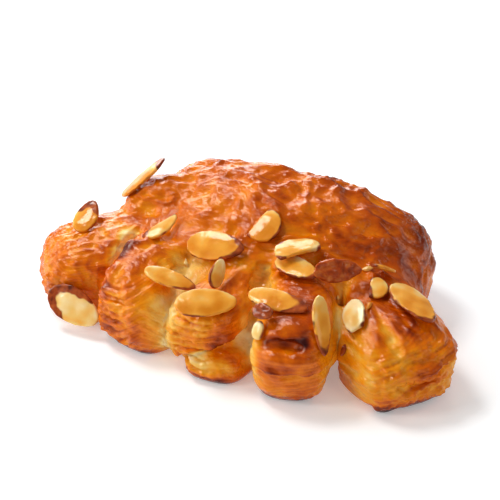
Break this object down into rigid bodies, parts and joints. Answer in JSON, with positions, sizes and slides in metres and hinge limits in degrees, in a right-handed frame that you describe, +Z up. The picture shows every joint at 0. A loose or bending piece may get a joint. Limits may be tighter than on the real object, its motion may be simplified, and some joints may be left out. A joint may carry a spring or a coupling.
{
  "type": "bear claw pastry",
  "caption": "Flat-based bear claw: a glazed, laminated pastry with a domed palm and fanned toes, topped with toasted almond slices.",
  "frame": {"origin": "on the surface that the pastry rests on, under the middle of its bounding box", "axes": "+X along the pastry from its left toe to its right toe, +Y towards the back of the palm, +Z up; the toes point to -Y"},
  "size_m": [0.1504, 0.0914, 0.0431],
  "materials": {
    "baked_pastry": "egg-washed and glazed, satin to glossy, golden to dark brown",
    "sliced_almond": "toasted and glazed, cream to golden",
    "almond_skin": "brown almond skin under glaze"
  },
  "bodies": {
    "root": {"pastry": "baked_pastry", "almond_back_left_shoulder": "sliced_almond", "almond_outer_left_top": "sliced_almond", "almond_outer_left_front": "sliced_almond", "almond_left_crescent": "sliced_almond", "almond_left_whole": "sliced_almond", "almond_middle_palm": "sliced_almond", "almond_middle_half": "sliced_almond", "almond_middle_bent": "sliced_almond", "almond_middle_front": "sliced_almond", "almond_right_lower": "sliced_almond", "almond_right_upper": "sliced_almond", "almond_right_skin": "almond_skin", "almond_right_front": "sliced_almond", "almond_right_side": "sliced_almond", "almond_right_burnt": "almond_skin", "almond_right_corner": "sliced_almond", "almond_outer_right_edge": "sliced_almond", "almond_outer_right_half": "sliced_almond", "almond_outer_right_whole": "sliced_almond", "almond_outer_right_chip": "sliced_almond"}
  },
  "joints": []
}
